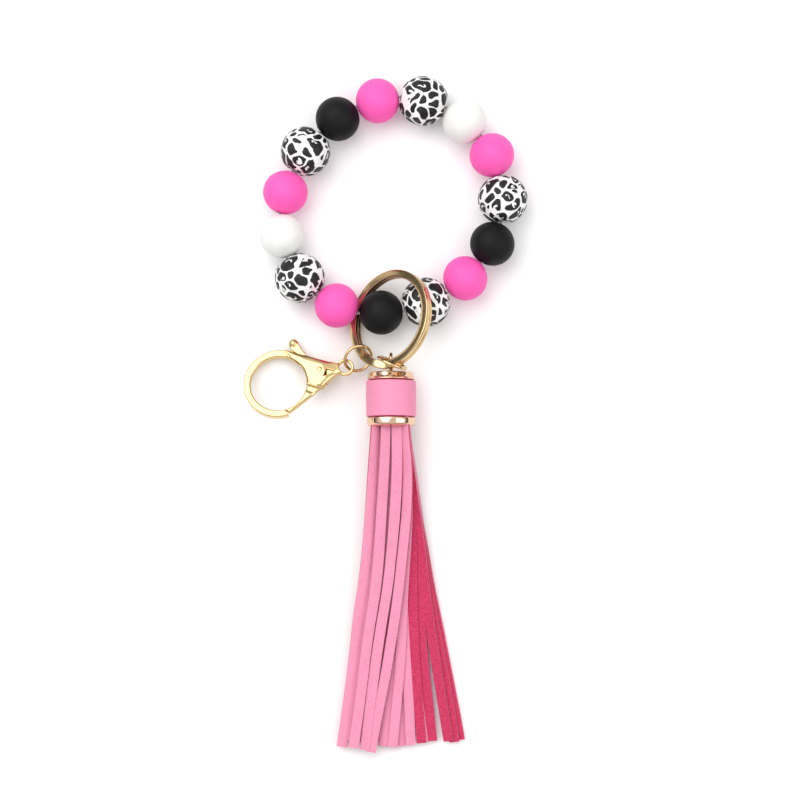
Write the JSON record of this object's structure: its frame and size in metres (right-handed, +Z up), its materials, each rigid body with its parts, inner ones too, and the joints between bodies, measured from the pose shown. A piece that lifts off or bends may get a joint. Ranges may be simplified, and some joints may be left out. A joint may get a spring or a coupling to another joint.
{
  "type": "wristlet keychain",
  "caption": "Silicone bead wristlet with a split key ring, a lobster clasp on a jump ring and a pink leather tassel under a gold cap.",
  "frame": {"origin": "centre of the set's footprint, on the table it lies on", "axes": "+Z up from the table; +Y from the tassel's tips towards the bead loop, along the tassel; +X to the right seen from above with the tassel pointing down"},
  "size_m": [0.0966, 0.231, 0.025],
  "materials": {
    "elastic": "clear stretch elastic",
    "silicone_pink": "matte silicone",
    "silicone_patterned": "matte silicone, white with printed black spots",
    "silicone_white": "matte silicone",
    "silicone_black": "matte silicone",
    "gold_metal": "polished pale gold plating",
    "rose_gold_metal": "polished rose-gold plating",
    "leather_wrap": "smooth imitation leather",
    "leather_strips": "smooth face, napped suede back"
  },
  "bodies": {
    "elastic": {"elastic_cord": "elastic"},
    "bead_pink_1": {"bead_pink_1": "silicone_pink"},
    "bead_leopard_1": {"bead_leopard_1": "silicone_patterned"},
    "bead_white_1": {"bead_white_1": "silicone_white"},
    "bead_pink_2": {"bead_pink_2": "silicone_pink"},
    "bead_leopard_2": {"bead_leopard_2": "silicone_patterned"},
    "bead_black_1": {"bead_black_1": "silicone_black"},
    "bead_pink_3": {"bead_pink_3": "silicone_pink"},
    "bead_leopard_3": {"bead_leopard_3": "silicone_patterned"},
    "bead_black_2": {"bead_black_2": "silicone_black"},
    "bead_pink_4": {"bead_pink_4": "silicone_pink"},
    "bead_leopard_4": {"bead_leopard_4": "silicone_patterned"},
    "bead_white_2": {"bead_white_2": "silicone_white"},
    "bead_pink_5": {"bead_pink_5": "silicone_pink"},
    "bead_leopard_5": {"bead_leopard_5": "silicone_patterned"},
    "bead_black_3": {"bead_black_3": "silicone_black"},
    "key_ring": {"key_ring": "gold_metal"},
    "clasp_ring": {"clasp_ring": "gold_metal"},
    "clasp": {"clasp_body": "gold_metal", "clasp_pin": "gold_metal"},
    "clasp_gate": {"clasp_gate": "gold_metal"},
    "tassel_ring": {"tassel_ring": "gold_metal"},
    "tassel_cap": {"cap_cup": "rose_gold_metal", "cap_band": "leather_wrap", "cap_eye": "gold_metal", "fringe_header": "leather_strips"},
    "fringe_left": {"fringe_left": "leather_strips"},
    "fringe_middle": {"fringe_middle": "leather_strips"},
    "fringe_right": {"fringe_right": "leather_strips"}
  },
  "joints": [
    {"name": "bead_pink_1_spin", "type": "hinge", "parent": "elastic", "child": "bead_pink_1", "pos_m": [-0.00299, 0.10723, 0.0083], "axis": [0.9774, 0.2116, 0], "continuous": true},
    {"name": "bead_leopard_1_spin", "type": "hinge", "parent": "elastic", "child": "bead_leopard_1", "pos_m": [0.01277, 0.10717, 0.0083], "axis": [0.9731, -0.2305, 0], "continuous": true},
    {"name": "bead_white_1_spin", "type": "hinge", "parent": "elastic", "child": "bead_white_1", "pos_m": [0.02689, 0.10016, 0.0083], "axis": [0.7783, -0.628, 0], "continuous": true},
    {"name": "bead_pink_2_spin", "type": "hinge", "parent": "elastic", "child": "bead_pink_2", "pos_m": [0.03631, 0.08836, 0.0083], "axis": [0.439, -0.8985, 0], "continuous": true},
    {"name": "bead_leopard_2_spin", "type": "hinge", "parent": "elastic", "child": "bead_leopard_2", "pos_m": [0.03998, 0.07303, 0.0083], "axis": [0.0026, -1, 0], "continuous": true},
    {"name": "bead_black_1_spin", "type": "hinge", "parent": "elastic", "child": "bead_black_1", "pos_m": [0.03639, 0.05769, 0.0083], "axis": [-0.432, -0.9019, 0], "continuous": true},
    {"name": "bead_pink_3_spin", "type": "hinge", "parent": "elastic", "child": "bead_pink_3", "pos_m": [0.02709, 0.04579, 0.0083], "axis": [-0.7466, -0.6652, 0], "continuous": true},
    {"name": "bead_leopard_3_spin", "type": "hinge", "parent": "elastic", "child": "bead_leopard_3", "pos_m": [0.01364, 0.03757, 0.0083], "axis": [-0.9253, -0.3791, 0], "continuous": true},
    {"name": "bead_black_2_spin", "type": "hinge", "parent": "elastic", "child": "bead_black_2", "pos_m": [-0.00171, 0.034, 0.0083], "axis": [-0.9994, -0.0356, 0], "continuous": true},
    {"name": "bead_pink_4_spin", "type": "hinge", "parent": "elastic", "child": "bead_pink_4", "pos_m": [-0.01696, 0.03642, 0.0083], "axis": [-0.9209, 0.3898, 0], "continuous": true},
    {"name": "bead_leopard_4_spin", "type": "hinge", "parent": "elastic", "child": "bead_leopard_4", "pos_m": [-0.02958, 0.04587, 0.0083], "axis": [-0.616, 0.7878, 0], "continuous": true},
    {"name": "bead_white_2_spin", "type": "hinge", "parent": "elastic", "child": "bead_white_2", "pos_m": [-0.03571, 0.06039, 0.0083], "axis": [-0.1624, 0.9867, 0], "continuous": true},
    {"name": "bead_pink_5_spin", "type": "hinge", "parent": "elastic", "child": "bead_pink_5", "pos_m": [-0.0346, 0.07545, 0.0083], "axis": [0.2584, 0.966, 0], "continuous": true},
    {"name": "bead_leopard_5_spin", "type": "hinge", "parent": "elastic", "child": "bead_leopard_5", "pos_m": [-0.02775, 0.08965, 0.0083], "axis": [0.5742, 0.8187, 0], "continuous": true},
    {"name": "bead_black_3_spin", "type": "hinge", "parent": "elastic", "child": "bead_black_3", "pos_m": [-0.01674, 0.10092, 0.0083], "axis": [0.8175, 0.5759, 0], "continuous": true},
    {"name": "key_ring_swing", "type": "hinge", "parent": "elastic", "child": "key_ring", "pos_m": [-0.00934, 0.03521, 0.0083], "axis": [0.9876, -0.1571, 0], "range_deg": [0, 75]},
    {"name": "clasp_ring_swing", "type": "hinge", "parent": "key_ring", "child": "clasp_ring", "pos_m": [-0.00824, 0.02014, 0.00669], "axis": [-0.4536, 0.696, -0.5567], "range_deg": [-35, 25]},
    {"name": "clasp_swing", "type": "hinge", "parent": "clasp_ring", "child": "clasp", "pos_m": [-0.01356, 0.01569, 0.00607], "axis": [-0.4598, 0.6405, 0.6151], "range_deg": [-25, 35]},
    {"name": "clasp_gate_open", "type": "hinge", "parent": "clasp", "child": "clasp_gate", "pos_m": [-0.02254, 0.01398, 0.00569], "axis": [0.0953, -0.2602, -0.9608], "range_deg": [0, 24], "stiffness_Nm_per_rad": 0.02, "springref_deg": -17.19},
    {"name": "tassel_ring_swing", "type": "hinge", "parent": "key_ring", "child": "tassel_ring", "pos_m": [0.00204, 0.01584, 0.01663], "axis": [-0.7624, -0.1877, -0.6193], "range_deg": [-20, 25]},
    {"name": "tassel_cap_swing", "type": "hinge", "parent": "tassel_ring", "child": "tassel_cap", "pos_m": [0.00184, 0.01727, 0.01069], "axis": [0.9261, -0.3567, -0.1227], "range_deg": [0, 30]},
    {"name": "fringe_left_swing", "type": "hinge", "parent": "tassel_cap", "child": "fringe_left", "pos_m": [-0.00262, -0.00706, 0.0083], "axis": [0, 0, -1], "range_deg": [0, 22]},
    {"name": "fringe_middle_swing", "type": "hinge", "parent": "tassel_cap", "child": "fringe_middle", "pos_m": [0.00168, -0.00706, 0.0083], "axis": [-1, 0, 0], "range_deg": [0, 20]},
    {"name": "fringe_right_swing", "type": "hinge", "parent": "tassel_cap", "child": "fringe_right", "pos_m": [0.00598, -0.00706, 0.0083], "axis": [0, 0, 1], "range_deg": [0, 22]}
  ]
}
